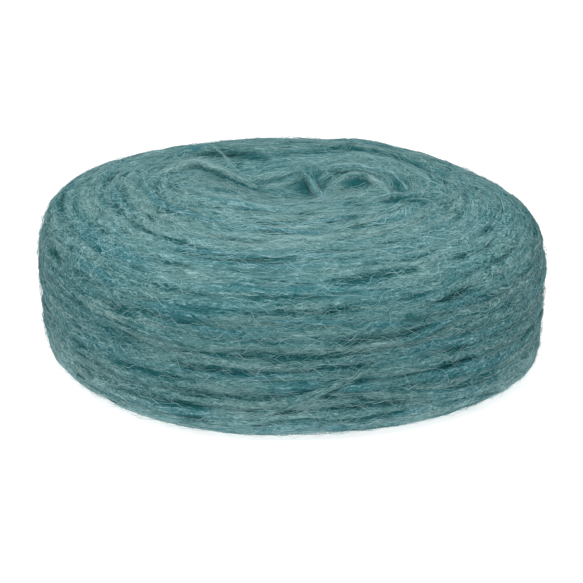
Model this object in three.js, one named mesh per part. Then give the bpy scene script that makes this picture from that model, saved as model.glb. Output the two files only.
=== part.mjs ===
// A flat plate of unspun wool roving: one soft strand wound round and round into a low, drum-shaped cake.
// The strand climbs the wall as a helix, rolls over a rounded shoulder and spirals in over the top
// to a sunken, partly closed heart. The plate stands on a flat round foot.
// Millimetres, +Z up. The origin lies on the surface that the plate stands on,
// under the middle of its outline.
import * as THREE from "three";

// Driving dimensions
const WALL_RADIUS = 100.1; // mean plan radius of the wall
const PLATE_HEIGHT = 73; // surface to the top of the crown
const WALL_PITCH = 5.4; // from one turn of the roving to the next on the wall
const TOP_PITCH = 6.8; // the same on the top, where the turns lie looser
const SHOULDER_TURN = 12; // the turn about which the pitch changes
const SHOULDER_BLEND = 3; // turns over which it changes
const STRAND_RELIEF = 1.5; // crest of a turn above the furrow beside it
const HEART_RADIUS = 2; // the strand stops about this far from the middle of the top
const LEAST_LIFT = 0.4; // the lowest turn of the strand clears the surface by this much

// Resolution: steps around one turn, and lines of points along the strand's face
const STEPS_PER_TURN = 64;
const LINES_PER_TURN = 3;
const SECTION_DIVISIONS = 400;

// Half section from the edge of the flat foot to the middle of the top:
// out is a share of WALL_RADIUS, up a share of PLATE_HEIGHT.
const SECTION = [
  { out: 0.82, up: 0.0 },
  { out: 0.915, up: 0.022 },
  { out: 0.98, up: 0.085 },
  { out: 0.996, up: 0.25 },
  { out: 1.0, up: 0.45 },
  { out: 1.0, up: 0.63 },
  { out: 0.97, up: 0.755 },
  { out: 0.9, up: 0.842 },
  { out: 0.717, up: 0.92 },
  { out: 0.5, up: 0.99 },
  { out: 0.355, up: 0.995 },
  { out: 0.215, up: 0.955 },
  { out: 0.1, up: 0.9 },
  { out: 0.0, up: 0.88 },
];

// The plan is not quite round: lobes per turn, amount as a share of the radius, towards in degrees.
const PLAN_LOBES = [
  { lobes: 2, amount: 0.033, towards: 148 },
  { lobes: 3, amount: 0.012, towards: 8 },
  { lobes: 4, amount: 0.013, towards: 62 },
];

// The strand wanders across its lane, and is thicker and thinner along its length:
// waves per turn, amount as a share of WALL_PITCH or of STRAND_RELIEF, phase in turns.
const WANDER = [
  { waves: 1.37, amount: 0.06, phase: 0.1 },
  { waves: 2.61, amount: 0.05, phase: 0.6 },
  { waves: 0.43, amount: 0.05, phase: 0.3 },
];
const SWELL = [
  { waves: 3.23, amount: 0.22, phase: 0.2 },
  { waves: 1.71, amount: 0.18, phase: 0.8 },
];

// Hollows sunk in the top: place of the middle, half sizes and depth.
const HOLLOWS = [
  { x: 9, y: 13, half_x: 10, half_y: 8, depth: 6 },
  { x: 29, y: 0, half_x: 7, half_y: 6, depth: 5 },
  { x: 45, y: -7, half_x: 5, half_y: 7, depth: 4 },
  { x: -18, y: 17, half_x: 15, half_y: 10, depth: 4 },
  { x: -36, y: 44, half_x: 26, half_y: 28, depth: 3.6 },
];

// Furrows pressed into the heart between its strands: both ends in plan, half width and depth.
const FURROWS = [
  { from_x: -37, from_y: 37, to_x: -10, to_y: 33, half_width: 2.4, depth: 3.2 },
  { from_x: -32, from_y: 28, to_x: -13, to_y: 18, half_width: 2.6, depth: 3.5 },
  { from_x: -49, from_y: 16, to_x: -35, to_y: 24, half_width: 2.2, depth: 1.8 },
  { from_x: -14, from_y: 24, to_x: -4, to_y: 20, half_width: 2.2, depth: 2 },
  { from_x: 25, from_y: 11, to_x: 37, to_y: 5, half_width: 2.2, depth: 2 },
  { from_x: 24, from_y: 40, to_x: 43, to_y: 32, half_width: 2.2, depth: 2.4 },
  { from_x: 49, from_y: 45, to_x: 63, to_y: 13, half_width: 2.2, depth: 2 },
  { from_x: 40, from_y: -27, to_x: 51, to_y: -22, half_width: 2.2, depth: 2.2 },
];

// Strands that leave their lane and cross the heart: both ends in plan,
// and the height over the top that they have gained at the far end.
const CROSSINGS = [
  { from_x: 6, from_y: 25, to_x: 15, to_y: 7, height: 5 },
  { from_x: -34, from_y: 31, to_x: -13, to_y: 18, height: 5 },
];

// Strands that leave their lane and climb over the turns of the wall: both ends as an angle in degrees
// and a height over the surface, and the height of their crest over the section.
const WALL_CROSSINGS = [
  { from_angle: -108, from_up: 9, to_angle: -60, to_up: 33, crest: 1.2 },
];

// Height of each line of the strand's face, as a share of STRAND_RELIEF:
// the furrow, then the two sides of the crest.
const LINE_HEIGHTS = [-0.5, 0.42, 0.5];
// Place of each line across the strand, as a share of its width.
const LINE_PLACES = [0, 0.32, 0.7];

const TURN = 2 * Math.PI;

// Sum of a table's waves at a place along the strand, counted in turns.
function waveSum(table, turns) {
  return table.reduce((sum, w) => sum + w.amount * Math.sin(TURN * (w.waves * turns + w.phase)), 0);
}

// Plan radius at an angle, as a share of the section's own radius.
function planShare(angle) {
  return PLAN_LOBES.reduce(
    (sum, p) => sum + p.amount * Math.cos(p.lobes * (angle - THREE.MathUtils.degToRad(p.towards))),
    1,
  );
}

// The nearest place on a straight run in plan, as a share of its length, and the distance to it.
function nearestOnRun(run, x, y) {
  const place = new THREE.Vector3(x, y, 0);
  const from = new THREE.Vector3(run.from_x, run.from_y, 0);
  const to = new THREE.Vector3(run.to_x, run.to_y, 0);
  const along = new THREE.Line3(from, to).closestPointToPointParameter(place, true);
  return { along, away: place.distanceTo(from.lerp(to, along)) };
}

// How far the top is sunk at a place, as a sum of soft round dips and of soft straight furrows.
function sunk(x, y) {
  const hollow = HOLLOWS.reduce((sum, h) => {
    const reach = ((x - h.x) / h.half_x) ** 2 + ((y - h.y) / h.half_y) ** 2;
    return sum + h.depth * Math.exp(-reach);
  }, 0);
  return FURROWS.reduce((sum, f) => {
    const reach = nearestOnRun(f, x, y).away / f.half_width;
    return sum + f.depth * Math.exp(-(reach ** 2));
  }, hollow);
}

// How far the crossing strands lift the top at a place, as soft ridges that rise along straight runs.
function lifted(x, y) {
  return CROSSINGS.reduce((sum, c) => {
    const { along, away } = nearestOnRun(c, x, y);
    const reach = away / (TOP_PITCH / 2);
    return sum + c.height * along * Math.exp(-(reach ** 2));
  }, 0);
}

// Height of the face over the section: the relief of its own turn, which gives way to the crest of a strand
// that climbs across the wall there. Such a strand covers most at its middle and sinks in at both ends.
function faceHeight(angle, up, relief) {
  const degrees = THREE.MathUtils.euclideanModulo(THREE.MathUtils.radToDeg(angle) + 180, 360) - 180;
  return WALL_CROSSINGS.reduce((height, c) => {
    const along = THREE.MathUtils.clamp((degrees - c.from_angle) / (c.to_angle - c.from_angle), 0, 1);
    const reach = (up - THREE.MathUtils.lerp(c.from_up, c.to_up, along)) / (WALL_PITCH / 2);
    const cover = Math.sin(Math.PI * along) * Math.exp(-(reach ** 2));
    return THREE.MathUtils.lerp(height, c.crest, cover);
  }, relief);
}

// The half section as a smooth curve in the plane of x (outwards) and z (upwards).
const section = new THREE.CatmullRomCurve3(
  SECTION.map((p) => new THREE.Vector3(p.out * WALL_RADIUS, 0, p.up * PLATE_HEIGHT)),
  false,
  "centripetal",
);
section.arcLengthDivisions = SECTION_DIVISIONS;
const SECTION_LENGTH = section.getLength();

// A point of the wound face, from its angle, its way along the section and its height over the section.
function facePoint(angle, along, relief) {
  const share = THREE.MathUtils.clamp(along / SECTION_LENGTH, 0, 1);
  const place = section.getPointAt(share);
  const tangent = section.getTangentAt(share);
  const height = faceHeight(angle, place.z, relief);
  const radius = (place.x + tangent.z * height) * planShare(angle);
  const x = radius * Math.cos(angle);
  const y = radius * Math.sin(angle);
  const z = place.z - tangent.x * height - sunk(x, y) + lifted(x, y);
  return new THREE.Vector3(x, y, Math.max(z, LEAST_LIFT));
}

// Way along the section of the edge of the strand's lane after a number of turns:
// even steps of the wall's pitch, and beyond the shoulder a bend to even steps of the top's pitch.
function laneWay(turns) {
  const past = turns - SHOULDER_TURN;
  const bend = (past + Math.hypot(past, SHOULDER_BLEND)) / 2;
  return WALL_PITCH * (1 + turns + waveSum(WANDER, turns)) + (TOP_PITCH - WALL_PITCH) * bend;
}

// A point on one line of the strand, a number of steps from where it starts at the foot.
function strandPoint(line, step) {
  const turns = step / STEPS_PER_TURN;
  const swell = 1 + waveSum(SWELL, turns);
  const along = laneWay(turns + LINE_PLACES[line]);
  return facePoint(TURN * turns, along, STRAND_RELIEF * LINE_HEIGHTS[line] * swell);
}

// The wound plate as one closed surface. Lines of points follow the strand, and the last line of a turn
// meets the first line of the next turn, so the surface is one strip wound from the foot to the middle.
function woundPlate() {
  let turns = 0;
  while (laneWay(turns + 2) < SECTION_LENGTH - HEART_RADIUS) turns += 1;
  const steps = turns * STEPS_PER_TURN;
  const places = [];
  const faces = [];
  const add = (point) => places.push(point) - 1;
  const quad = (a, b, c, d) => faces.push(a, b, c, a, c, d);

  const lines = LINE_PLACES.map((_, line) => {
    const count = line === 0 ? steps + STEPS_PER_TURN : steps;
    return Array.from({ length: count + 1 }, (__, step) => add(strandPoint(line, step)));
  });
  const at = (line, step) => (line < LINES_PER_TURN ? lines[line][step] : lines[0][step + STEPS_PER_TURN]);
  for (let step = 0; step < steps; step += 1) {
    for (let line = 0; line < LINES_PER_TURN; line += 1) {
      quad(at(line, step), at(line, step + 1), at(line + 1, step + 1), at(line + 1, step));
    }
  }

  // The foot: a flat ring under the first turn, and a fan of triangles to its middle.
  const footRadius = SECTION[0].out * WALL_RADIUS;
  const foot = Array.from({ length: STEPS_PER_TURN }, (_, step) => {
    const angle = (TURN * step) / STEPS_PER_TURN;
    const radius = footRadius * planShare(angle);
    return add(new THREE.Vector3(radius * Math.cos(angle), radius * Math.sin(angle), 0));
  });
  const footMiddle = add(new THREE.Vector3(0, 0, 0));
  // The heart: a fan of triangles from the last turn to the middle of the top.
  const heart = add(facePoint(0, SECTION_LENGTH, 0));
  for (let step = 0; step < STEPS_PER_TURN; step += 1) {
    const next = (step + 1) % STEPS_PER_TURN;
    quad(foot[step], foot[next], at(0, step + 1), at(0, step));
    faces.push(footMiddle, foot[next], foot[step]);
    faces.push(heart, at(0, steps + step), at(0, steps + step + 1));
  }
  // The strand's two cut ends, where the first turn starts and the last turn stops.
  for (let line = 0; line < LINES_PER_TURN; line += 1) {
    faces.push(foot[0], at(line, 0), at(line + 1, 0));
    faces.push(heart, at(line + 1, steps), at(line, steps));
  }

  const geometry = new THREE.BufferGeometry().setFromPoints(places);
  geometry.setIndex(faces);
  return geometry;
}

// Moves a geometry so that the middle of its outline stands on the origin.
function standOnOrigin(geometry) {
  geometry.computeBoundingBox();
  const middle = geometry.boundingBox.getCenter(new THREE.Vector3());
  geometry.translate(-middle.x, -middle.y, -geometry.boundingBox.min.z);
  geometry.computeVertexNormals();
  return geometry;
}

const wool = new THREE.MeshStandardMaterial({ color: 0x5b8285, roughness: 0.95, metalness: 0 });

const woolPlate = new THREE.Mesh(standOnOrigin(woundPlate()), wool);
woolPlate.name = "wool_plate";

const part = new THREE.Group();
part.add(woolPlate);

export default part;
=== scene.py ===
"""A plate of unspun wool yarn: one soft heathered strand, wound round a low drum and over its domed top.

The plate's smooth skin is a half section turned about the winding axis. The strand is a lumpy sleeve
wound on that skin, and other strands cross it. Wisps of fibre lie along every strand, and loose hairs
stray over the whole plate.
"""
import math

import bpy
import numpy as np
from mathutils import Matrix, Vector


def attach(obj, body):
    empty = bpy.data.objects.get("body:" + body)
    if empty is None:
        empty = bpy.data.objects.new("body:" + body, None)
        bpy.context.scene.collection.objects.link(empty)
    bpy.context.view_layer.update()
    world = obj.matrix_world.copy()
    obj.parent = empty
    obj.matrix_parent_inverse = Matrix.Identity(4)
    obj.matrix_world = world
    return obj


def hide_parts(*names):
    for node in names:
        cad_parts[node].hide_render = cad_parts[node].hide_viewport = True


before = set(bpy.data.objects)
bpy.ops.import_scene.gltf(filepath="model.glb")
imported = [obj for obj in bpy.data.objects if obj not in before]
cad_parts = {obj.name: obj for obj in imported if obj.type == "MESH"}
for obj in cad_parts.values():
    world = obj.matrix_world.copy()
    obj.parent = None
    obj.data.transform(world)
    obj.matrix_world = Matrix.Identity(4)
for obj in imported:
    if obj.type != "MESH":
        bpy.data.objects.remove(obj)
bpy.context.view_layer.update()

# Metres in a millimetre
MM = 0.001

# Sizes of the plate, in millimetres as in the solid
WALL_RADIUS = 100.1
PLATE_HEIGHT = 73.0
WALL_PITCH = 5.4
TOP_PITCH = 6.8

# Least height of any wool over the floor, in millimetres
FLOOR_CLEAR = 0.02

# Height above which wool lies on the top
TOP_HEIGHT = 0.7 * PLATE_HEIGHT

# Turn at which the strand comes over the shoulder, and the turns over which its pitch changes there
SHOULDER_TURN = 12.0
SHOULDER_BLEND = 3.0

# Radius of the flat foot, as a share of WALL_RADIUS
FOOT_SHARE = 0.82

# Matted sides: distance from the middle plane at which they start, and the stretch over which they grow
SIDE_START = 55.0
SIDE_GROWTH = 35.0

# Length along a strand in which its noise moves on by one row of its table
NOISE_ROW = 977.0

# Seeds of the noise, and the step in seed from one strand of a kind to the next
GLOOM_SEED = 62
CORE_SEED = 92
WOUND_SEED = 100
HEART_SEED = 200
HEART_SWELL_SEED = 210
WALL_SEED = 400
RIDER_SEED = 600
HEART_LOCK_SEED = 2300
SEED_STEP = 10

# Half section from the foot's middle to the top's middle: shares of WALL_RADIUS and PLATE_HEIGHT
SECTION = np.array([
    (0.0, 0.0),
    (0.3, 0.0),
    (0.6, 0.0),
    (FOOT_SHARE, 0.0),
    (0.915, 0.022),
    (0.98, 0.085),
    (0.996, 0.25),
    (1.0, 0.45),
    (1.0, 0.63),
    (0.97, 0.755),
    (0.9, 0.842),
    (0.717, 0.92),
    (0.5, 0.99),
    (0.355, 0.995),
    (0.215, 0.955),
    (0.1, 0.9),
    (0.0, 0.88),
])

# Places in SECTION of the foot's edge and of the shoulder, and the steps from one point to the next
FOOT_POINT = 3
SHOULDER_POINT = 10
SECTION_STEPS = 24

# Lobes of the plan: lobes per turn, share of the radius, direction in degrees
PLAN_LOBES = ((2, 0.033, 148.0), (3, 0.012, 8.0), (4, 0.013, 62.0))

# The strand's wander across its lane: waves per turn, share of WALL_PITCH, phase in turns
WANDER = ((1.37, 0.06, 0.1), (2.61, 0.05, 0.6), (0.43, 0.05, 0.3))

# Hollows in the top: middle x and y, half sizes x and y, depth
HOLLOWS = (
    (9.0, 13.0, 10.0, 8.0, 6.0),
    (29.0, 0.0, 7.0, 6.0, 5.0),
    (45.0, -7.0, 5.0, 7.0, 4.0),
    (-18.0, 17.0, 15.0, 10.0, 4.0),
    (-36.0, 44.0, 26.0, 28.0, 3.6),
)

# Places in the top where little light gets in: middle x and y, half sizes x and y, darkness
PITS = (
    (8.0, 17.0, 6.0, 5.0, 1.0),
    (11.0, 3.0, 4.0, 8.0, 0.7),
    (29.0, 5.5, 8.0, 3.5, 1.2),
    (44.5, -1.0, 3.5, 5.0, 0.9),
    (46.0, -23.0, 7.5, 3.5, 0.9),
    (-32.0, 48.5, 7.0, 4.0, 0.9),
    (-20.0, 41.5, 8.0, 4.0, 0.9),
    (25.0, 43.0, 5.0, 7.0, 1.0),
    (-22.0, 15.0, 12.0, 6.0, 0.25),
)

# Matted frizz beside the heart, where the crevices close and their painted shade fades: middle x and y, half
# sizes x and y, amount
FRIZZ = (
    (62.0, -14.0, 17.0, 30.0, 1.0),
    (-48.0, 6.0, 14.0, 16.0, 0.5),
)

# Felted wool along the front of the top, where crevices fade and painted light makes the wool paler: middle
# x and y, half sizes x and y, amount
FELT_AND_LIGHT = ((0.0, -58.0, 75.0, 28.0, 1.0),)

# Stretches of painted shade in the crevices: how many in a turn, amount
GLOOM_STRETCHES = ((42, 0.95), (100, 0.2))

# Furrows between the strands of the heart: x and y of both ends, half width, depth
FURROWS = (
    (-38.0, 52.0, -25.0, 43.0, 2.6, 3.6),
    (-25.0, 43.0, -10.0, 34.0, 2.8, 3.4),
    (-4.0, 36.5, 13.0, 38.0, 2.2, 2.8),
    (14.0, 38.5, 24.0, 44.0, 2.4, 2.8),
    (-36.0, 26.0, -13.0, 11.5, 2.6, 3.2),
    (-49.0, 14.0, -37.0, 26.0, 2.0, 1.8),
    (-13.0, 18.5, -3.0, 18.5, 1.8, 1.8),
    (22.0, 15.0, 39.0, 6.5, 2.0, 3.4),
    (24.0, 41.0, 36.0, 42.0, 3.2, 3.6),
    (36.0, 42.0, 52.0, 30.0, 3.0, 3.4),
    (52.0, 30.0, 63.0, 16.0, 2.6, 3.0),
    (40.0, -25.0, 51.0, -20.0, 3.4, 3.6),
    (-18.0, -37.5, 8.0, -43.5, 2.4, 2.6),
)

# Share of a furrow's depth that is left once loose wool lies in it
SOFT_FURROW = 0.5

# Radius of the heart, where the turns end in matted wool
HEART_RADIUS = 45.0

# Strands over the heart and the top's back: half width, half depth, paler by, points of x, y, height
HEART_STRANDS = (
    (2.5, 2.6, 0.45, (
        (6.0, 23.0, 1.5), (8.5, 20.0, 2.4), (11.0, 15.0, 2.6), (13.0, 5.0, 1.6),
        (14.5, -5.0, 0.2), (15.5, -11.0, -1.5),
    )),
    (2.8, 2.2, 0.25, (
        (-58.0, -2.0, -1.2), (-52.0, 11.0, 0.7), (-47.0, 19.0, 1.3), (-42.0, 27.5, 1.6),
        (-37.0, 31.5, 1.6), (-31.0, 27.0, 1.3), (-24.0, 23.0, 1.2), (-17.5, 19.0, 0.8),
        (-11.0, 14.0, -0.4), (-6.0, 10.0, -1.6),
    )),
    (3.8, 3.4, 0.1, (
        (-58.0, 28.0, -1.5), (-50.0, 41.0, 1.5), (-42.0, 54.0, 3.0), (-34.0, 55.0, 3.6),
        (-26.0, 50.5, 3.4), (-18.0, 46.0, 2.8), (-9.0, 42.0, 1.8), (4.0, 40.0, -1.0),
    )),
    (2.8, 1.7, 0.1, (
        (-20.0, 18.0, -1.0), (-13.5, 21.0, 0.4), (-8.0, 21.0, 0.7), (-2.0, 22.0, 0.7),
        (4.0, 24.0, 0.5), (11.0, 28.0, -0.8),
    )),
    (2.4, 1.5, 0.1, (
        (-14.0, 13.0, -0.8), (-7.0, 15.5, 0.4), (-2.0, 17.0, 0.6), (5.0, 20.5, 0.3),
        (9.0, 24.0, -0.8),
    )),
    (3.2, 2.1, 0.15, (
        (-4.0, 25.0, -1.0), (5.0, 27.5, 0.6), (12.5, 26.5, 0.9), (21.5, 29.0, 1.2),
        (27.0, 32.5, 1.3), (38.0, 27.0, 1.3), (48.0, 19.0, 1.0), (55.5, 8.0, 0.6),
        (59.0, -4.0, -1.0),
    )),
    (3.6, 2.6, 0.0, (
        (14.0, 34.0, -1.2), (22.0, 42.0, 1.0), (27.0, 52.0, 1.7), (37.0, 52.0, 1.8),
        (47.0, 46.0, 1.7), (57.0, 34.5, 1.4), (65.5, 17.0, 0.6), (69.0, 4.0, -1.2),
    )),
    (3.4, 2.4, 0.1, (
        (2.0, 90.0, -1.5), (18.0, 86.0, 1.2), (30.0, 83.0, 2.5), (48.0, 76.0, 2.0),
        (62.0, 65.0, 1.0), (74.0, 50.0, -1.5),
    )),
    (2.2, 2.2, 0.35, (
        (13.0, -8.0, -1.2), (15.5, 0.0, 0.6), (18.5, 8.0, 1.3), (23.5, 10.5, 1.7),
        (28.5, 9.5, 1.8), (34.0, 5.0, 1.5), (38.0, -6.0, 0.9), (40.0, -16.0, 0.2),
        (39.0, -24.0, -1.0),
    )),
    (2.6, 2.3, 0.25, (
        (8.0, 25.0, -1.0), (14.0, 23.0, 0.6), (19.5, 20.5, 1.4), (25.5, 17.5, 1.8),
        (32.0, 14.0, 1.8), (37.5, 10.5, 1.6), (43.0, 5.0, 1.0), (46.5, -1.0, 0.5),
        (49.0, -12.0, -1.0),
    )),
    (2.4, 1.7, 0.1, (
        (25.0, -29.0, -1.0), (33.0, -25.5, 0.4), (42.5, -18.5, 0.8), (50.5, -12.5, 0.8),
        (56.0, -5.0, 0.2), (59.0, 5.0, -1.0),
    )),
    (3.0, 2.2, 0.25, (
        (-44.0, -17.0, -1.0), (-34.0, -24.0, 0.9), (-22.5, -29.0, 1.3), (-12.0, -34.5, 1.3),
        (-2.0, -38.0, 1.0), (6.5, -37.5, 0.6), (18.0, -34.0, -0.8),
    )),
    (1.7, 1.3, 0.2, (
        (-46.0, -16.0, -0.8), (-40.0, -22.0, 0.4), (-31.0, -24.0, 0.6), (-22.0, -21.0, 0.6),
        (-14.0, -20.0, -0.7),
    )),
)

# Long hairs that lie together on the top: how many, then points of x, y and height over the skin
LONG_HAIRS = (
    (9, (
        (-31.0, 44.0, 4.2), (-27.0, 33.0, 3.2), (-23.0, 24.5, 2.6), (-17.0, 20.0, 1.8),
        (-10.0, 15.5, 0.6),
    )),
    (6, (
        (36.0, 8.0, 2.2), (40.0, -2.0, 2.4), (40.0, -14.0, 1.8), (36.0, -24.0, 0.8),
    )),
    (6, (
        (40.0, -34.0, 0.6), (47.0, -27.0, 1.8), (55.0, -26.0, 2.0), (62.0, -34.0, 0.6),
    )),
)

# Strands that cross the wall: start and end angle in degrees, start and end height, half width
WALL_STRANDS = (
    (-108.0, -60.0, 9.0, 33.0, 2.9),
    (-86.0, -40.0, 21.0, 12.0, 2.6),
    (-140.0, -96.0, 44.0, 37.0, 2.6),
    (-78.0, -36.0, 50.0, 57.0, 2.7),
    (60.0, 115.0, 16.0, 31.0, 2.9),
    (150.0, 200.0, 42.0, 30.0, 2.8),
    (-48.0, 34.0, 52.0, 57.0, 3.6),
    (-26.0, 52.0, 60.0, 53.0, 3.4),
)


def smooth_curve(points, steps):
    """Curve through points: a cubic on each span from b to c, whose end tangents come from the points
    a and d on either side, with knots spaced by the root of the distance."""
    before_first = 2 * points[0] - points[1]
    after_last = 2 * points[-1] - points[-2]
    row = np.vstack([before_first, points, after_last])
    gap = np.sqrt(np.linalg.norm(np.diff(row, axis=0), axis=1))[:, None]
    a, b, c, d = row[:-3], row[1:-2], row[2:-1], row[3:]
    before, here, after = gap[:-2], gap[1:-1], gap[2:]
    leave = here * ((b - a) / before - (c - a) / (before + here) + (c - b) / here)
    arrive = here * ((c - b) / here - (d - b) / (here + after) + (d - c) / after)
    share = np.linspace(0, 1, steps, endpoint=False)[None, :, None]
    b, c, leave, arrive = (ends[:, None] for ends in (b, c, leave, arrive))
    curve = (b * (1 + 2 * share) * (1 - share) ** 2 + leave * share * (1 - share) ** 2
             + c * share ** 2 * (3 - 2 * share) + arrive * share ** 2 * (share - 1))
    return np.vstack([curve.reshape(-1, points.shape[1]), points[-1:]])


def length_along(points):
    """Distance along a row of points, from its first one."""
    steps = np.linalg.norm(np.diff(points, axis=0), axis=1)
    return np.concatenate([[0.0], np.cumsum(steps)])


section = smooth_curve(SECTION * (WALL_RADIUS, PLATE_HEIGHT), SECTION_STEPS)
section_way = length_along(section)
FOOT_WAY = FOOT_SHARE * WALL_RADIUS
HEART_WAY = section_way[-1]
SHOULDER_WAY = section_way[SHOULDER_POINT * SECTION_STEPS]


def plan_share(theta):
    """One plus a cosine for each lobe of the plan."""
    return 1 + sum(amount * np.cos(lobes * (theta - math.radians(towards)))
                   for lobes, amount, towards in PLAN_LOBES)


def outline_middle():
    """Middle of the plan's own box, which the solid puts over the origin."""
    theta = np.linspace(0, 2 * np.pi, 720)
    edge = WALL_RADIUS * plan_share(theta)
    x, y = edge * np.cos(theta), edge * np.sin(theta)
    return np.array([(x.min() + x.max()) / 2, (y.min() + y.max()) / 2, 0.0])


middle = outline_middle()


def bells(x, y, table):
    """Amount at a place of the hollows, pits, felt or frizz in a table: a bell for each row."""
    return sum(amount * np.exp(-((x - mid_x) / half_x) ** 2 - ((y - mid_y) / half_y) ** 2)
               for mid_x, mid_y, half_x, half_y, amount in table)


def furrowed(x, y):
    """Depth of the furrows at a place: a bell of the distance from each one's straight run."""
    depths = 0.0
    for x0, y0, x1, y1, half_width, depth in FURROWS:
        run_x, run_y = x1 - x0, y1 - y0
        share = np.clip(((x - x0) * run_x + (y - y0) * run_y) / (run_x ** 2 + run_y ** 2), 0, 1)
        away = np.hypot(x - x0 - share * run_x, y - y0 - share * run_y)
        depths = depths + depth * np.exp(-(away / half_width) ** 2)
    return depths


def skin(theta, way):
    """Points of the smooth skin: the section's radius times the plan's lobes, turned by theta.
    The hollows and the soft furrows lower it, and they fade out from the shoulder down to half height."""
    fade_start, fade_stretch = 0.5, 0.3
    radius = np.interp(way, section_way, section[:, 0]) * plan_share(theta)
    height = np.interp(way, section_way, section[:, 1])
    x = radius * np.cos(theta)
    y = radius * np.sin(theta)
    sunk = bells(x, y, HOLLOWS) + SOFT_FURROW * furrowed(x, y)
    fade = np.clip((height / PLATE_HEIGHT - fade_start) / fade_stretch, 0, 1)
    return np.stack([x, y, height - sunk * fade], axis=-1) - middle


def side_share(x):
    """How far a place is towards the plate's matted sides: 0 up to their start, then evenly to 1."""
    return np.clip((np.abs(x) - SIDE_START) / SIDE_GROWTH, 0, 1)


def felt_and_light(points):
    """How far points lie in the felt on the front of the top, from 0 to 1: the felt's bell on the top, where
    crevices fade and painted light makes the wool paler.
    """
    x, y, z = np.moveaxis(points + middle, -1, 0)
    return np.where(z > TOP_HEIGHT, bells(x, y, FELT_AND_LIGHT), 0.0)


def painted_light_and_shade(points, buried=1.0):
    """Painted light and shade of the wool at points, 0 for plain: painted light makes it paler at the foot,
    on the sides and, with the felt, on the front of the top; painted shade makes it deeper on the wall,
    round the shoulder and towards the back of the top. The painted shade is deepest in the top's pits
    and, for wool that is buried, in its furrows."""
    foot_height, back_start, back_stretch = 18.0, -40.0, 50.0
    shoulder_height, band = 0.75 * PLATE_HEIGHT, 0.1 * PLATE_HEIGHT
    x, y, z = np.moveaxis(points + middle, -1, 0)
    foot = np.clip(1 - z / foot_height, 0, 1)
    top = np.clip((z - TOP_HEIGHT) / band, 0, 1)
    back = np.clip((y - back_start) / back_stretch, 0, 1)
    shoulder = np.exp(-((z - shoulder_height) / band) ** 2)
    # Painted shade in the top's pits, and for buried wool in its furrows
    pit = (0.4 + 0.6 * buried) * bells(x, y, PITS) + 0.3 * buried * furrowed(x, y)
    # Painted light at the foot and on the sides, painted shade on the wall and round the shoulder
    wall = 0.75 * foot - 0.08 * (1 - top) - 0.12 * shoulder + 0.1 * side_share(x)
    # Painted light on the felt at the front of the top; painted shade towards the back of the top and in its
    # pits and furrows
    return wall + 0.16 * felt_and_light(points) - top * (0.04 * back + np.minimum(pit, 1.0))


def unit(vectors):
    """Vectors scaled to length one."""
    return vectors / np.linalg.norm(vectors, axis=-1, keepdims=True)


def skin_outward(theta, way):
    """Outward direction of the skin: the cross product of its slopes around and along the section."""
    turn, step = 0.01, 0.4
    around = skin(theta + turn, way) - skin(theta - turn, way)
    along = skin(theta, way + step) - skin(theta, way - step)
    return unit(np.cross(around, along))


def wall_way(height):
    """Way along the section at a height on the wall."""
    wall = slice(FOOT_POINT * SECTION_STEPS, SHOULDER_POINT * SECTION_STEPS)
    return np.interp(height, section[wall, 1], section_way[wall])


def top_place(x, y):
    """Angle and way along the section at a place in plan on the top."""
    theta = np.arctan2(y, x)
    top = slice(SHOULDER_POINT * SECTION_STEPS, None)
    radius = np.hypot(x, y) / plan_share(theta)
    return theta, np.interp(-radius, -section[top, 0], section_way[top])


def ease(share):
    """From 0 to 1 with level ends: three times the square less twice the cube."""
    return share * share * (3 - 2 * share)


def lattice_noise(u, v, seed, size=128):
    """Smooth noise from -1 to 1: random values at whole numbers of u and v, eased between them.
    It repeats after its size."""
    table = np.random.default_rng(seed).uniform(-1, 1, (size, size))
    row, column = np.floor(u).astype(int), np.floor(v).astype(int)
    down, across = ease(u - row), ease(v - column)
    next_row, next_column = (row + 1) % size, (column + 1) % size
    row, column = row % size, column % size
    near = table[row, column] * (1 - down) + table[next_row, column] * down
    far = table[row, next_column] * (1 - down) + table[next_row, next_column] * down
    return near * (1 - across) + far * across


def drift(length, wave, seed):
    """Smooth noise from -1 to 1 along a length, with about one rise or fall in each wave."""
    return lattice_noise(length / wave, length / NOISE_ROW, seed)


def painted_crevice_shade(points):
    """How dark the painted shade in the crevices between turns is, from about -1 to 1: smooth noise in long
    and in short stretches round the plate, which changes from lane to lane, less some on the matted sides
    and in the top's frizz."""
    x, y, z = np.moveaxis(points + middle, -1, 0)
    lane = (z - np.hypot(x, y)) / WALL_PITCH
    turn = np.arctan2(y, x) / (2 * np.pi)
    noise = sum(amount * lattice_noise(turn * stretches, lane, GLOOM_SEED + stretches, stretches)
                for stretches, amount in GLOOM_STRETCHES)
    return noise - 0.12 * side_share(x) - np.where(z > TOP_HEIGHT, bells(x, y, FRIZZ), 0.0)


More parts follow.
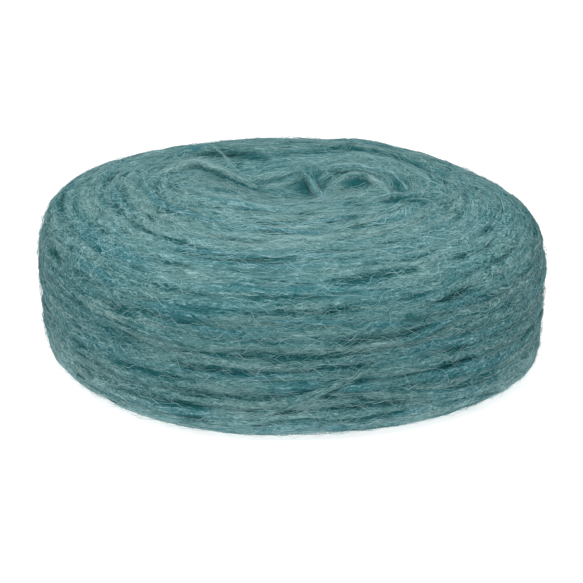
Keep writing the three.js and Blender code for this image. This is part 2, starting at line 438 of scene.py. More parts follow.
class Strand:
    """A soft strand: lumpy rings of a half width and half depth round a path, rounded off at both ends.
    Its gloom is how dark the painted shade in its crevices is, paler is added to its shade, and buried,
    from 0 to 1, is how far it takes on the painted shade of the top's pits and furrows."""

    def __init__(self, path, outward, half_width, half_depth, seed, gloom, paler=0.0, buried=0.2):
        least_taper = 0.03
        ahead = unit(np.gradient(path, axis=0))
        self.path = path
        self.length = length_along(path)
        from_end = np.minimum(self.length, self.length[-1] - self.length)
        taper = np.sqrt(np.clip(from_end / (2 * half_width), least_taper, 1))
        self.across = unit(np.cross(outward, ahead))
        self.outward = np.cross(ahead, self.across)
        self.half_width = half_width * taper
        self.half_depth = half_depth * taper
        self.seed = seed
        self.gloom = gloom
        self.paler = paler
        self.buried = buried

    def at(self, values, place):
        """What is given at the path's points, at any lengths along the strand."""
        if values.ndim == 1:
            return np.interp(place, self.length, values)
        return np.stack([np.interp(place, self.length, column) for column in values.T], axis=-1)

    def lumps(self, place, angle):
        """Share by which the strand swells: one, plus long soft lumps and shorter sharper ones."""
        long_lumps = 0.14 * lattice_noise(place / 16, angle * 1.3, self.seed)
        short_lumps = 0.12 * lattice_noise(place / 7, angle * 2.2, self.seed + 1)
        return 1 + long_lumps + short_lumps

    def heather(self, place, angle):
        """Place in the heather from 0, blue, to 1, grey: patches along the strand, with streaks on them."""
        patch = lattice_noise(place / 30, angle * 0.6 + place / NOISE_ROW, self.seed + 2)
        streak = lattice_noise(place / 15, angle * 1.9, self.seed + 3)
        return np.clip(0.5 + 0.42 * patch + 0.16 * streak, 0, 1)

    def crevice(self, points):
        """How dark the painted shade is where the strand meets its neighbour: its gloom, less some on the
        felt at the front of the top, plus the painted shade of the crevices at the place, so that it fades
        out in some stretches and is deep in others."""
        return np.clip(self.gloom - 0.3 * felt_and_light(points) + 1.5 * painted_crevice_shade(points), 0, 1.25)

    def face(self, place, angle, lift=0.0):
        """Points on the strand and the directions away from it: the middle plus half_width cos(angle) across
        and half_depth sin(angle) outwards, times the lumps, plus the lift."""
        across, outward = self.at(self.across, place), self.at(self.outward, place)
        wide, deep = self.at(self.half_width, place), self.at(self.half_depth, place)
        swell = self.lumps(place, angle)
        side = (wide * swell * np.cos(angle))[..., None] * across
        rise = (deep * swell * np.sin(angle))[..., None] * outward
        away = unit((np.cos(angle) / wide)[..., None] * across + (np.sin(angle) / deep)[..., None] * outward)
        return self.at(self.path, place) + side + rise + away * np.asarray(lift)[..., None], away


def sleeve_mesh(rings, tips):
    """Closed sleeves: triangles join neighbouring rings, and a fan to its tip closes each end."""
    sleeves, steps, sides = rings.shape[:3]
    points = np.concatenate([rings.reshape(sleeves, -1, 3), tips], axis=1)
    corner = np.arange(steps * sides).reshape(steps, sides)
    turned = np.roll(corner, -1, axis=1)
    low_a, low_b = corner[:-1].ravel(), turned[:-1].ravel()
    up_a, up_b = corner[1:].ravel(), turned[1:].ravel()
    start = np.full(sides, steps * sides)
    end = start + 1
    triangles = np.concatenate([
        np.stack([low_a, low_b, up_b], 1),
        np.stack([low_a, up_b, up_a], 1),
        np.stack([start, turned[0], corner[0]], 1),
        np.stack([end, corner[-1], turned[-1]], 1),
    ])
    triangles = triangles[None] + points.shape[1] * np.arange(sleeves)[:, None, None]
    return points.reshape(-1, 3), triangles.reshape(-1, 3)


def on_sleeve(values):
    """Values of a sleeve's rings, by sleeve, step and side, in the order of its points, tips last."""
    return np.concatenate([values.reshape(len(values), -1), values[:, [0, -1], 0]], axis=1).ravel()


def on_fibre(values):
    """Values by fibre and step in the order of the fibres' points: three to a step, tips last."""
    return on_sleeve(np.repeat(values[:, :, None], 3, axis=2))


def fibre_facing(away):
    """Directions by fibre and step in the order of the fibres' points."""
    return np.stack([on_fibre(away[..., axis]) for axis in range(3)], axis=1)


def make_piece(name, points, triangles, material, facing=None, **readings):
    """Puts arrays into a mesh object at the origin, in metres and smooth shaded, with a value a point for
    each reading. No point lies lower than the clearance over the floor. Where a facing is given for each
    point, the piece is lit as the wool it lies on and throws no shadow, because light goes through single
    fibres."""
    points = points.copy()
    points[:, 2] = np.maximum(points[:, 2], FLOOR_CLEAR)
    mesh = bpy.data.meshes.new(name)
    count = len(triangles)
    mesh.vertices.add(len(points))
    mesh.vertices.foreach_set("co", (points * MM).astype(np.float32).ravel())
    mesh.loops.add(count * 3)
    mesh.loops.foreach_set("vertex_index", triangles.astype(np.int32).ravel())
    mesh.polygons.add(count)
    mesh.polygons.foreach_set("loop_start", np.arange(0, count * 3, 3, dtype=np.int32))
    mesh.update(calc_edges=True)
    mesh.polygons.foreach_set("use_smooth", np.ones(count, dtype=bool))
    for reading, values in readings.items():
        layer = mesh.attributes.new(reading, "FLOAT", "POINT")
        layer.data.foreach_set("value", values.astype(np.float32).ravel())
    mesh.validate()
    mesh.materials.append(material)
    piece = bpy.data.objects.new(name, mesh)
    bpy.context.scene.collection.objects.link(piece)
    if facing is not None:
        mesh.normals_split_custom_set_from_vertices(facing.tolist())
        piece.visible_shadow = False
    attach(piece, "root")
    return piece


class Reading:
    """A shader socket that holds a number, so that shader maths reads as Python sums."""

    def __init__(self, graph, socket):
        self.graph = graph
        self.socket = socket

    def math(self, operation, first, second=0.0):
        """What a Math node makes of one or two numbers or readings."""
        node = self.graph.node("ShaderNodeMath", {"operation": operation}, {0: first, 1: second})
        return Reading(self.graph, node.outputs[0])

    def __add__(self, other):
        return self.math("ADD", self, other)

    def __radd__(self, other):
        return self.math("ADD", other, self)

    def __sub__(self, other):
        return self.math("SUBTRACT", self, other)

    def __rsub__(self, other):
        return self.math("SUBTRACT", other, self)

    def __mul__(self, other):
        return self.math("MULTIPLY", self, other)

    def __rmul__(self, other):
        return self.math("MULTIPLY", other, self)

    def __abs__(self):
        return self.math("ABSOLUTE", self)


class Graph:
    """A material's nodes: one way to add any node, and the readings and mixes that the wool needs."""

    def __init__(self, name):
        self.material = bpy.data.materials.new(name)
        self.material.use_nodes = True
        self.tree = self.material.node_tree
        self.tree.nodes.clear()
        self.shader = self.node("ShaderNodeBsdfPrincipled")
        self.node("ShaderNodeOutputMaterial", {}, {"Surface": self.shader.outputs[0]})

    def node(self, kind, settings=None, sockets=None):
        """Adds a node, sets its settings, then gives its sockets values or links."""
        node = self.tree.nodes.new(kind)
        for name, value in (settings or {}).items():
            if name == "stops":
                while len(node.color_ramp.elements) < len(value):
                    node.color_ramp.elements.new(1.0)
                for element, (place, colour) in zip(node.color_ramp.elements, value):
                    element.position = place
                    element.color = (*colour, 1.0)
            else:
                setattr(node, name, value)
        for name, value in (sockets or {}).items():
            if isinstance(value, Reading):
                value = value.socket
            if isinstance(value, bpy.types.NodeSocket):
                self.tree.links.new(value, node.inputs[name])
            else:
                node.inputs[name].default_value = value
        return node

    def reading(self, node, output=0):
        """A node's output as a reading."""
        return Reading(self, node.outputs[output])

    def attribute(self, name):
        """A value that the mesh holds at its points."""
        return self.reading(self.node("ShaderNodeAttribute", {"attribute_name": name}), "Fac")

    def place_x(self):
        """Place from left to right in the object, in metres."""
        place = self.node("ShaderNodeTexCoord").outputs["Object"]
        return self.reading(self.node("ShaderNodeSeparateXYZ", {}, {0: place}), "X")

    def noise(self, x, y, layer):
        """Noise from 0 to 1 at a place in one of its layers, counted in the noise's own cells."""
        place = self.node("ShaderNodeCombineXYZ", {}, {0: x, 1: y, 2: layer})
        return self.reading(self.node("ShaderNodeTexNoise", {}, {
            "Vector": place.outputs[0], "Scale": 1.0, "Detail": 2.0}))

    def ramp(self, value, stops):
        """Colour from a value, through stops of place and colour."""
        return self.node("ShaderNodeValToRGB", {"stops": stops}, {0: value}).outputs[0]

    def mix(self, share, first, second):
        """First colour, giving way to the second one.
        Sockets 6 and 7 and output 2 of a Mix node are its colours."""
        node = self.node("ShaderNodeMix", {"data_type": "RGBA"}, {0: share, 6: first, 7: (*second, 1.0)})
        return node.outputs[2]

    def between(self, value, low, high):
        """Zero at low and one at high, and even between them."""
        range_sockets = {"Value": value, "From Min": low, "From Max": high}
        return self.reading(self.node("ShaderNodeMapRange", {"clamp": True}, range_sockets))

    def sway(self, along, around, layer):
        """Sideways sway of the fibres in millimetres: short waves on a slow slant."""
        waves = (self.noise(along * 0.25, around * 0.5, layer) - 0.5) * 3.0
        slant = (self.noise(along * 0.06, around * 0.15, layer + 4.0) - 0.5) * 5.0
        return waves + slant

    def thread(self, x, y, layer, fineness):
        """Thin lines from 0 to 1, where a noise crosses its middle value."""
        return self.between(1.0 - abs(self.noise(x, y, layer) - 0.5) * fineness, 0.0, 1.0)

    def threads(self, fineness, *lays):
        """The stronger of two lays of thin lines, each given by its place in the noise and its layer."""
        first, second = (self.thread(*lay, fineness) for lay in lays)
        return first.math("MAXIMUM", first, second)

    def wool_colour(self, shade):
        """The heather's colour, giving way to deep teal below a shade of zero and to pale fibre above it.
        The shade holds the wool's own darker and paler fibres, and painted light and shade.
        """
        colour = self.ramp(self.attribute("heather"), HEATHER)
        colour = self.mix(self.between(shade, 0.0, -1.0), colour, DEEP_TEAL)
        return self.mix(self.between(shade, 0.0, 1.25), colour, PALE_FIBRE)

    def feed(self, name, socket):
        """Links a colour or a direction to one of the shader's sockets."""
        self.tree.links.new(socket, self.shader.inputs[name])

    def finish(self, **constants):
        """Sets the shader's constant sockets and gives the material."""
        for name, value in constants.items():
            self.shader.inputs[name.replace("_", " ")].default_value = value
        return self.material


# Wool colours, linear: deep teal is also the colour of painted shade, and pale fibre that of painted light
DEEP_TEAL = (0.009, 0.082, 0.09)
BLUE_TEAL = (0.055, 0.185, 0.213)
MID_TEAL = (0.087, 0.215, 0.225)
GREY_GREEN = (0.148, 0.265, 0.26)
PALE_FIBRE = (0.35, 0.545, 0.56)
HEATHER = [(0.1, BLUE_TEAL), (0.4, MID_TEAL), (0.85, GREY_GREEN)]


def roving_wool():
    """Face of a strand: heathered, with a fine tangle and fluff, and with thin pale and dark threads in
    two lays that sway each their own way. Curls are strongest on the plate's matted sides. Soft bundles
    show as lighter and darker patches and as bump, and ragged painted shade runs along the strand's
    edges in the crevices, fainter where pale threads cross it."""
    graph = Graph("roving_wool")
    along, around, shade = (graph.attribute(name) for name in ("along", "around", "shade"))
    lane = around + graph.sway(along, around, 3.0)
    other = around + graph.sway(along, around, 9.0)
    bundle = graph.noise(along * 0.06, lane * 0.5, 11.0) - 0.5
    tangle = graph.noise(along * 0.4, lane * 1.6, 37.0) - 0.5
    fluff = graph.noise(along * 1.2, other * 2.6, 71.0) - 0.5
    pale = graph.threads(6.5, (along * 0.08, lane * 0.9, 23.0), (along * 0.1, other, 83.0))
    dark = graph.threads(6.5, (along * 0.09, lane * 0.85, 51.0), (along * 0.08, other * 0.8, 61.0))
    curls = graph.threads(12.0, (along * 0.35, around * 0.42, 13.0), (along * 0.4, around * 0.36, 17.0))
    gaps = graph.threads(11.0, (along * 0.37, around * 0.4, 93.0), (along * 0.42, around * 0.45, 97.0))
    matted = graph.between(abs(graph.place_x()), 35 * MM, 85 * MM)
    lines = pale * 0.85 - dark * 1.02 + (curls - gaps) * (0.25 + matted * 0.4)
    grain = (tangle * 0.9 + fluff * 0.9 + lines) * graph.between(shade, -1.3, -0.2)
    ragged = graph.attribute("edge") + bundle * 1.4 + tangle * 1.2
    # Painted shade in the crevices along the strand's edges: ragged, and fainter where pale threads cross
    crevice = graph.between(ragged, 0.25, 0.75) * graph.attribute("crevice") * (1.1 - pale * 0.4)
    # The shade reading holds painted light and shade; the crevices' painted shade is taken off it
    graph.feed("Base Color", graph.wool_colour(shade + bundle * 0.5 + grain - crevice))
    height = bundle + grain * 0.3 - crevice * 0.7
    bump = graph.node("ShaderNodeBump", {}, {"Strength": 1.0, "Distance": 0.4 * MM, "Height": height})
    graph.feed("Normal", bump.outputs[0])
    return graph.finish(Roughness=0.95, Specular_IOR_Level=0.1)


def fibre_wool():
    """Wisps and loose hairs: each one has its own place in the heather and its own shade."""
    graph = Graph("fibre_wool")
    graph.feed("Base Color", graph.wool_colour(graph.attribute("shade")))
    return graph.finish(Roughness=0.85, Specular_IOR_Level=0.15)


roving = roving_wool()
fibre = fibre_wool()


def build_core():
    """Body of wool under the outer turns: the skin, closed at both middles, which sinks where the painted
    shade of the crevices between the turns is dark. It shows in the grooves and as the matted floor of
    the heart. Its pattern lies straight over the heart, and beyond the heart's edge it gives way to the
    lanes of the turns."""
    rows, columns = 150, 144
    end_gap, groove_depth, lowest = 3.0, 0.6, 1.0
    heart_edge, lane_shift = 25.0, 12.0
    way = np.linspace(end_gap, HEART_WAY - end_gap, rows)
    theta = np.arange(columns) * 2 * np.pi / columns
    way, theta = np.meshgrid(way, theta, indexing="ij")
    radius = np.interp(way, section_way, section[:, 0])
    on_top = way > SHOULDER_WAY
    heart = on_top & (radius < HEART_RADIUS)
    grid = skin(theta, way)
    # Painted shade of the crevices, faint in the heart; the core sinks by it as well
    dark = np.clip(np.where(heart, -0.1, 0.5) + 0.9 * painted_crevice_shade(grid), 0, 1)
    grid = grid - skin_outward(theta, way) * np.where(heart, 0.0, groove_depth * dark)[..., None]
    grid[..., 2] = np.maximum(grid[..., 2], lowest)
    rings = grid[None]
    points, triangles = sleeve_mesh(rings, rings[:, [0, -1]].mean(axis=2))
    along = grid[..., 0]
    matted = np.where(on_top, np.clip((HEART_RADIUS + heart_edge - radius) / heart_edge, 0, 1), 0.0)
    lane = way - HEART_WAY + HEART_RADIUS + lane_shift
    around = lane + (grid[..., 1] - lane) * matted
    values = {
        "along": along,
        "around": around,
        "edge": np.full(way.shape, 0.8),
        "crevice": dark,
        "heather": 0.55 + 0.35 * lattice_noise(along / 24, around / 9, CORE_SEED),
        "shade": painted_light_and_shade(grid),
    }
    core = make_piece("wool_core", points, triangles, roving, **{
        key: on_sleeve(value[None]) for key, value in values.items()})
    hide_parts("wool_plate")


def wander(turns):
    """Sideways wander of the strand, as a share of the wall's pitch: a sine for each wave in the table."""
    return sum(amount * np.sin(2 * np.pi * (waves * turns + phase)) for waves, amount, phase in WANDER)


def lane_way(turns):
    """Way along the section of the strand's middle after a number of turns from the edge of the foot:
    even steps of the wall's pitch, and beyond the shoulder a bend to even steps of the top's pitch."""
    place = turns + 0.5
    past = place - SHOULDER_TURN
    bend = (past + np.hypot(past, SHOULDER_BLEND)) / 2
    return FOOT_WAY + WALL_PITCH * (1 + place + wander(place)) + (TOP_PITCH - WALL_PITCH) * bend


def lane_pitch(turns):
    """Distance from one turn to the next: the slope of the lane without its wander."""
    past = turns + 0.5 - SHOULDER_TURN
    return WALL_PITCH + (TOP_PITCH - WALL_PITCH) * (1 + past / np.hypot(past, SHOULDER_BLEND)) / 2


def wound_strand():
    """The wound strand: its path is a helix on the skin that wanders, rises and sinks. It swells and thins,
    lies looser on the top, and at the heart it sinks into the matted wool. Also gives the lengths at which
    it leaves the foot and at which it comes over the shoulder."""
    first_turn, foot_turn, last_turn = -16.2, -1.0, 19.28
    foot_step, step = 4.5, 1.9
    width_share, depth_share, crest_height = 0.63, 0.33, 0.45
    sink_depth, sink_turns = 1.5, 0.2
    loose_share, loose_turns = 0.8, 4
    dense = np.linspace(first_turn, last_turn, 12000)
    run = length_along(skin(2 * np.pi * dense, lane_way(dense)))
    foot_run = np.interp(foot_turn, dense, run)
    length = np.concatenate([np.arange(0, foot_run, foot_step), np.arange(foot_run, run[-1], step)])
    turns = np.interp(length, run, dense)
    theta = 2 * np.pi * turns
    loose = 1 + loose_share * np.clip(turns - SHOULDER_TURN, 0, loose_turns) / loose_turns
    way = lane_way(turns) + loose * (1.1 * drift(length, 40, 1) + 0.6 * drift(length, 13, 2))
    sink = sink_depth * np.clip(1 - (last_turn - turns) / sink_turns, 0, 1)
    rise = 0.5 * drift(length, 40, 3) + 0.35 * drift(length, 12, 4) - sink
    swell = 1 + 0.2 * drift(length, 50, 5) + 0.14 * drift(length, 15, 6)
    half_width = width_share * lane_pitch(turns) * swell
    half_depth = depth_share * lane_pitch(turns) * swell ** 0.5
    outward = skin_outward(theta, way)
    path = skin(theta, way) + outward * (crest_height - half_depth + rise)[:, None]
    strand = Strand(path, outward, half_width, half_depth, WOUND_SEED, gloom=0.45, buried=1.0)
    shoulder_run = np.interp(SHOULDER_TURN, turns, length)
    foot_end, shoulder = np.interp([foot_run, shoulder_run], length, strand.length)
    return strand, foot_end, shoulder


def heart_strands():
    """The strands over the heart and the back of the top: smooth curves through their points, whose heights
    are added to the skin. They thin towards both ends."""
    strands = []
    for index, (half_width, half_depth, paler, points) in enumerate(HEART_STRANDS):
        x, y, height = smooth_curve(np.array(points), 10).T
        theta, way = top_place(x, y)
        outward = skin_outward(theta, way)
        run = length_along(np.stack([x, y], 1))
        from_middle = np.linspace(-1, 1, len(x))
        swell = 1 - 0.35 * from_middle ** 4 + 0.12 * drift(run, 9, HEART_SWELL_SEED + index)
        wide, deep = half_width * swell, half_depth * swell
        path = skin(theta, way) + outward * (height - deep)[:, None]
        seed = HEART_SEED + SEED_STEP * index
        strands.append(Strand(path, outward, wide, deep, seed, gloom=-0.7, paler=paler))
    return strands


def wall_strands():
    """The strands across the wall: each climbs out of one lane, slants over and sinks into another."""
    share = np.linspace(0, 1, 60)
    arch = np.sin(np.pi * share)
    crest = -1.6 + 2.7 * arch ** 0.6
    strands = []
    for index, (start, end, low, high, half_width) in enumerate(WALL_STRANDS):
        theta = np.radians(start + (end - start) * share)
        way = wall_way(low + (high - low) * ease(share))
        outward = skin_outward(theta, way)
        wide = half_width * (0.75 + 0.25 * arch)
        deep = 0.5 * wide
        path = skin(theta, way) + outward * (crest - deep)[:, None]
        strands.append(Strand(path, outward, wide, deep, WALL_SEED + SEED_STEP * index, gloom=0.7))
    return strands


def lock(theta, way, half_width, height, seed):
    """A lock on a run over the skin: it rises out of the winding to a height and sinks again."""
    sunk = 1.2
    arch = np.sin(np.pi * np.linspace(0, 1, len(theta)))
    outward = skin_outward(theta, way)
    wide = half_width * (0.35 + 0.65 * arch ** 0.7)
    deep = 0.6 * wide
    crest = (sunk + height) * arch ** 0.6 - sunk
    path = skin(theta, way) + outward * (crest - deep)[:, None]
    return Strand(path, outward, wide, deep, seed, gloom=0.2, buried=0.7)


def rider_strands():
    """Locks that leave their lane in low slanting runs, and locks that lie about on the heart."""
    rng = np.random.default_rng(20)
    lane_locks, heart_locks = 160, 26
    share = np.linspace(0, 1, 22)
    strands = []
    for index in range(lane_locks):
        way = rng.uniform(FOOT_WAY + 12, HEART_WAY - HEART_RADIUS)
        radius = np.interp(way, section_way, section[:, 0])
        theta = rng.uniform(0, 2 * np.pi) + rng.uniform(22, 70) / radius * share
        way = way + rng.choice([-1.0, 1.0]) * rng.uniform(1.0, 7.0) * ease(share)
        half_width, height = rng.uniform(0.8, 2.2), rng.uniform(0.2, 0.9)
        strands.append(lock(theta, way, half_width, height, RIDER_SEED + SEED_STEP * index))
    for index in range(heart_locks):
        x, y = rng.uniform(-58, 30), rng.uniform(-42, 20)
        heading = rng.normal(0, 0.3) + rng.uniform(-0.6, 0.6) * (share - 0.5)
        run = rng.uniform(16, 36) * share
        theta, way = top_place(x + run * np.cos(heading), y + run * np.sin(heading))
        half_width, height = rng.uniform(0.7, 1.6), rng.uniform(0.1, 0.6)
        strands.append(lock(theta, way, half_width, height, HEART_LOCK_SEED + SEED_STEP * index))
    return strands


def build_strands(name, strands, sides):
    """Lumpy closed sleeves for a list of strands, in one piece, with points closer together on their faces.
    A shift along the pattern gives each strand a stretch of its own."""
    pattern_shift = 50.0
    share = np.arange(sides) / sides
    angles = -np.pi / 2 + 2 * np.pi * share + 0.5 * np.sin(2 * np.pi * share)
    parts, readings, first = [], [], 0
    for strand in strands:
        place, angle = np.meshgrid(strand.length, angles, indexing="ij")
        rings, _ = strand.face(place, angle)
        ahead = unit(np.gradient(strand.path, axis=0))[[0, -1]]
        tips = strand.path[[0, -1]] + ahead * strand.half_depth[[0, -1], None] * [[-1.0], [1.0]]
        points, triangles = sleeve_mesh(rings[None], tips[None])
        edge = angle - np.pi / 2
        values = {
            "along": place + pattern_shift * strand.seed,
            "around": edge * strand.half_width[:, None],
            "edge": np.abs(edge),
            # Painted shade of the crevices; the shade holds the painted light and shade of the place, plus
            # paler
            "crevice": strand.crevice(rings),
            "heather": strand.heather(place, angle),
            "shade": painted_light_and_shade(rings, strand.buried) + strand.paler,
        }
        readings.append({key: on_sleeve(value[None]) for key, value in values.items()})
        parts.append((points, triangles + first))
        first += len(points)
    points, triangles = (np.concatenate(arrays) for arrays in zip(*parts))
    joined = {key: np.concatenate([reading[key] for reading in readings]) for key in readings[0]}
    make_piece(name, points, triangles, roving, **joined)


def fibre_sleeves(path, away, radius):
    """Thin, somewhat flat three-sided sleeves round rows of points, drawn to a point at both ends."""
    flatness = 0.7
    angles = np.arange(3) * 2 * np.pi / 3 - np.pi / 6
    ahead = unit(np.gradient(path, axis=1))
    across = unit(np.cross(away, ahead))
    up = np.cross(ahead, across) * flatness
    ring = np.cos(angles)[:, None] * across[:, :, None] + np.sin(angles)[:, None] * up[:, :, None]
    rings = path[:, :, None] + radius[..., None, None] * ring
    hop = path[:, [0, -1]] - path[:, [1, -2]]
    return sleeve_mesh(rings, path[:, [0, -1]] + 0.5 * hop)


def make_fibres(name, path, away, radius, heather, shade):
    """One piece of fibres along rows of points, with a radius, a heather and a shade at each point."""
    points, triangles = fibre_sleeves(path, away, radius)
    facing, heather, shade = fibre_facing(away), on_fibre(heather), on_fibre(shade)
    make_piece(name, points, triangles, fibre, facing, heather=heather, shade=shade)


def swaying(rng, count, share, least, most, waves):
    """A sine along each fibre: its size is drawn from least to most, and its phase is drawn too."""
    size = rng.uniform(least, most, (count, 1))
    phase = rng.uniform(0, 1, (count, 1))
    return size * np.sin(2 * np.pi * (waves * share + phase))


def wisps(strand, count, seed, low=0.0, high=None):
    """Wisps that lie along a strand's face, many fine and a few thick: each runs on from its start, drifts
    round the strand and bends, and its shade is its own plus the strand's paler and the painted light and
    shade of its place and of the strand's crevices. Gives their paths, the directions away from the
    strand, and the radius, heather and shade along them."""
    rng = np.random.default_rng(seed)
    steps = 5
    each = (count, 1)
    high = strand.length[-1] if high is None else high
    share = np.linspace(0, 1, steps)[None]
    arch = np.sin(np.pi * share)
    thick = 0.06 + 0.16 * rng.uniform(0, 1, each) ** 3
    span = (5 + 50 * thick) * rng.uniform(0.7, 1.3, each)
    place = rng.uniform(low, np.maximum(high - span, low + 0.1), each) + span * share
    start = np.clip(rng.normal(0, 0.7, each), -1.3, 1.3)
    bend = swaying(rng, count, share, 0.05, 0.35, 1.1)
    angle = np.pi / 2 + start + rng.normal(0, 0.5, each) * share + bend
    lift = rng.uniform(-0.1, 0.1, each) + rng.uniform(0, 0.4, each) * arch ** 2
    path, away = strand.face(place, angle, lift)
    radius = thick * (0.45 + 0.55 * arch)
    heather = np.clip(strand.heather(place, angle) + rng.normal(0, 0.15, each), 0, 1)
    own = np.clip(rng.normal(0.05, 0.32, each), -0.7, 0.9)
    edge = np.clip((np.abs(angle - np.pi / 2) - 0.45) / 0.5, 0, 1)
    # Painted light and shade of the place, and painted shade of the crevices near the strand's edges
    shade = own + strand.paler + 0.7 * (painted_light_and_shade(path, strand.buried) - strand.crevice(path) * edge)
    return path, away, radius, heather, shade


def wisps_along(strands, per_mm):
    """Wisps for each of some strands, so many to a millimetre."""
    return [wisps(strand, int(strand.length[-1] * per_mm), strand.seed) for strand in strands]


def build_wisps(name, batches):
    """One piece from batches of wisps."""
    make_fibres(name, *(np.concatenate(arrays) for arrays in zip(*batches)))


def build_hairs(name, count, seed, low_way, high_way):
    """Loose hairs over the skin, which bridge the furrows: their heading swings as two sines along their
    length, most on the matted sides. Some lie low in the tangle and are of its colour, and the finer ones
    stand off in an arch and are pale."""
    rng = np.random.default_rng(seed)
    steps = 8
    each = (count, 1)
    least_radius, end_gap, lowest = 8.0, 1.0, 0.15
    ways = np.linspace(low_way, high_way, 400)
    area = np.cumsum(np.interp(ways, section_way, section[:, 0]))
    way = np.interp(rng.uniform(area[0], area[-1], count), area, ways)[:, None]
    theta = rng.uniform(0, 2 * np.pi, each)
    radius = np.maximum(np.interp(way, section_way, section[:, 0]), least_radius)
    fine = rng.uniform(0, 1, each) ** 0.7
    length = rng.uniform(3.5, 8, each) + fine * rng.uniform(0, 6, each)
    share = np.linspace(0, 1, steps)[None]
    arch = np.sin(np.pi * share)
    matted = np.cos(theta) ** 2
    swing = swaying(rng, count, share, 0.2, 0.7, 0.7) + swaying(rng, count, share, 0.0, 0.4, 1.5)
    swing = swing * (1.0 + 0.4 * matted)
    heading = rng.normal(0, 0.35 + 0.1 * matted) + rng.choice([0.0, np.pi], each) + swing
    hop = length / (steps - 1)
    theta = theta + np.cumsum(np.cos(heading) * hop, axis=1) / radius
    way = np.clip(way + np.cumsum(np.sin(heading) * hop, axis=1), end_gap, HEART_WAY - end_gap)
    lift = rng.uniform(0.0, 0.8, each) + fine * rng.uniform(0, 0.8, each) * arch
    lift = lift + 1.8 * rng.uniform(0, 1, each) ** 3 * share ** 2
    outward = skin_outward(theta, way)
    path = skin(theta, way) + outward * lift[..., None]
    path[..., 2] = np.maximum(path[..., 2], lowest)
    thick = (0.11 - 0.03 * fine) * (0.55 + 0.45 * arch)
    heather = np.repeat(rng.uniform(0.2, 0.9, each), steps, axis=1)
    # Painted light and shade of the place, which in the pits and furrows takes over most of the hair's own
    # shade
    lit = painted_light_and_shade(path)
    own = np.minimum(1.05 * fine ** 4 + rng.normal(0.05, 0.22, each), 1.15)
    shade = own * (1 - np.clip(-lit, 0, 0.9)) + lit
    make_fibres(name, path, outward, thick, heather, shade)


def build_long_hairs(name, seed):
    """Long pale hairs: each follows its row's points, a little aside, and is drawn to a point at both
    ends."""
    rng = np.random.default_rng(seed)
    steps, aside, half_thick, least_lift = 12, 0.6, 0.07, 0.3
    paths, ups = [], []
    for count, points in LONG_HAIRS:
        for _ in range(count):
            points_aside = np.array(points) + rng.normal(0, aside, (len(points), 3)) * (1.0, 1.0, 0.3)
            curve = smooth_curve(points_aside, 8)
            start, end = rng.uniform(0, 0.3), rng.uniform(0.7, 1.0)
            run = length_along(curve)
            place = run[-1] * np.linspace(start, end, steps)
            x, y, height = (np.interp(place, run, column) for column in curve.T)
            theta, way = top_place(x, y)
            up = skin_outward(theta, way)
            paths.append(skin(theta, way) + up * np.maximum(height, least_lift)[:, None])
            ups.append(up)
    path, outward = np.array(paths), np.array(ups)
    arch = np.sin(np.pi * np.linspace(0, 1, steps))
    thick = np.full((len(path), 1), half_thick) * (0.6 + 0.4 * arch)
    heather = np.full(path.shape[:2], 0.5)
    shade = np.repeat(rng.uniform(0.1, 0.8, (len(path), 1)), steps, axis=1)
    make_fibres(name, path, outward, thick, heather, shade)


def build_wool():
    """All the wool: the core, the strands, the wisps along them and the loose hairs."""
    build_core()
    wound, foot_end, shoulder = wound_strand()
    crossing = heart_strands() + wall_strands()
    riders = rider_strands()
    build_strands("wound_strand", [wound], sides=12)
    build_strands("crossing_strands", crossing, sides=12)
    build_strands("rider_strands", riders, sides=8)
    build_wisps("wisps_wall", [wisps(wound, count=1200, seed=31, low=foot_end, high=shoulder)])
    build_wisps("wisps_top", [wisps(wound, count=1100, seed=32, low=shoulder)])
    build_wisps("wisps_crossing", wisps_along(crossing, per_mm=0.8))
    build_wisps("wisps_riders", wisps_along(riders, per_mm=0.15))
    waist = (FOOT_WAY + SHOULDER_WAY) / 2
    build_hairs("hairs_low", count=3500, seed=33, low_way=FOOT_WAY - 2, high_way=waist)
    build_hairs("hairs_high", count=3500, seed=34, low_way=waist, high_way=SHOULDER_WAY)
    build_hairs("hairs_top", count=4000, seed=35, low_way=SHOULDER_WAY, high_way=HEART_WAY - 2)
    build_long_hairs("long_hairs", seed=36)


build_wool()

# Area lights: name, place and size in metres, power in watts
LIGHTS = (
    ("key", (-0.7, -0.8, 1.5), 0.9, 9.0),
    ("top", (0.05, -0.6, 1.7), 1.2, 23.4),
)


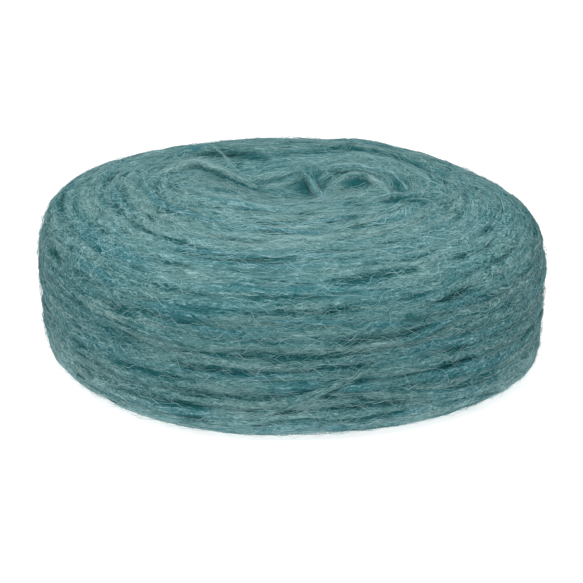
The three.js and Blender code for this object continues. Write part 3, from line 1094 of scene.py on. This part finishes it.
def build_floor():
    """Plain pale floor that glows a little, as a light table does: one square at height zero."""
    graph = Graph("pale_floor")
    pale = graph.finish(Base_Color=(0.45, 0.45, 0.45, 1.0), Roughness=0.9, Emission_Strength=0.8)
    half = 3.0
    corners = [(-half, -half, 0), (half, -half, 0), (half, half, 0), (-half, half, 0)]
    mesh = bpy.data.meshes.new("floor")
    mesh.from_pydata(corners, [], [(0, 1, 2, 3)])
    mesh.materials.append(pale)
    floor = bpy.data.objects.new("floor", mesh)
    bpy.context.scene.collection.objects.link(floor)


def build_light():
    """Soft light: an even white room, and area lights in front and above that are turned to the plate."""
    room_strength = 0.39
    aim = Vector((0.0, 0.0, 0.04))
    world = bpy.data.worlds.new("soft_room")
    world.use_nodes = True
    room = world.node_tree.nodes["Background"]
    room.inputs["Color"].default_value = (1.0, 1.0, 1.0, 1.0)
    room.inputs["Strength"].default_value = room_strength
    bpy.context.scene.world = world
    bpy.context.scene.view_settings.view_transform = "Standard"
    for name, place, size, power in LIGHTS:
        light = bpy.data.lights.new(name, "AREA")
        light.size = size
        light.energy = power
        lamp = bpy.data.objects.new(name, light)
        lamp.location = place
        lamp.rotation_euler = (aim - lamp.location).to_track_quat("-Z", "Y").to_euler()
        bpy.context.scene.collection.objects.link(lamp)


def build_camera():
    """Camera of the photograph: its height angle, distance, lens and the place of the plate in the frame."""
    image_side, sensor = 583.0, 36.0
    elevation = math.radians(20.4)
    distance, aim_height = 1025.0, 30.75
    pixels_per_mm = 2.4566
    seen_at = (287.6, 277.5)
    aim = np.array([0.0, 0.0, aim_height]) - middle
    eye = aim + distance * np.array([0.0, -math.cos(elevation), math.sin(elevation)])
    data = bpy.data.cameras.new("camera")
    data.sensor_width = sensor
    data.lens = pixels_per_mm * distance / image_side * sensor
    data.shift_x = (image_side / 2 - seen_at[0]) / image_side
    data.shift_y = -(image_side / 2 - seen_at[1]) / image_side
    data.clip_start = 0.05
    camera = bpy.data.objects.new("camera", data)
    camera.location = Vector(eye * MM)
    camera.rotation_euler = Vector(aim - eye).to_track_quat("-Z", "Y").to_euler()
    bpy.context.scene.collection.objects.link(camera)
    bpy.context.scene.camera = camera


build_floor()
build_light()
build_camera()
